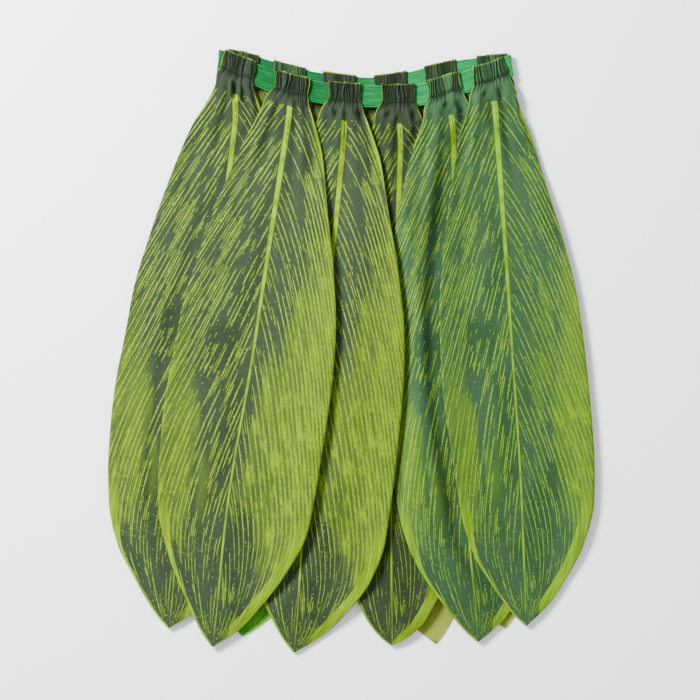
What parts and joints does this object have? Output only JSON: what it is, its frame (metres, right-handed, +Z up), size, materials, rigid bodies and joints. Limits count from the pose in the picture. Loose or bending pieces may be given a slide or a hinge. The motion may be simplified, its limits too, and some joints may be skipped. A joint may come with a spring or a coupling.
{
  "type": "ti leaf skirt",
  "caption": "Hula skirt of overlapping printed leaf-shaped cloth panels gathered onto an elastic waistband, laid flat.",
  "frame": {"origin": "on the table under the middle of the skirt's plan, at the bottom centre of its box", "axes": "+Z up from the table, out of the front of the skirt; +Y towards the waist; +X to the right as seen from above"},
  "size_m": [0.4688, 0.5824, 0.0148],
  "materials": {
    "leaf_cloth": "thin woven polyester, printed, slight sheen",
    "leaf_cloth_emerald": "thin woven polyester, printed greener, slight sheen",
    "elastic": "matte woven elastic"
  },
  "bodies": {
    "root": {"back_leaf_1": "leaf_cloth", "back_leaf_2": "leaf_cloth_emerald", "back_leaf_3": "leaf_cloth", "back_leaf_4": "leaf_cloth", "back_leaf_5": "leaf_cloth", "back_leaf_6": "leaf_cloth_emerald", "front_leaf_1": "leaf_cloth", "front_leaf_2": "leaf_cloth", "front_leaf_3": "leaf_cloth", "front_leaf_4": "leaf_cloth", "front_leaf_5": "leaf_cloth_emerald", "front_leaf_6": "leaf_cloth_emerald", "waist_elastic": "elastic"}
  },
  "joints": []
}
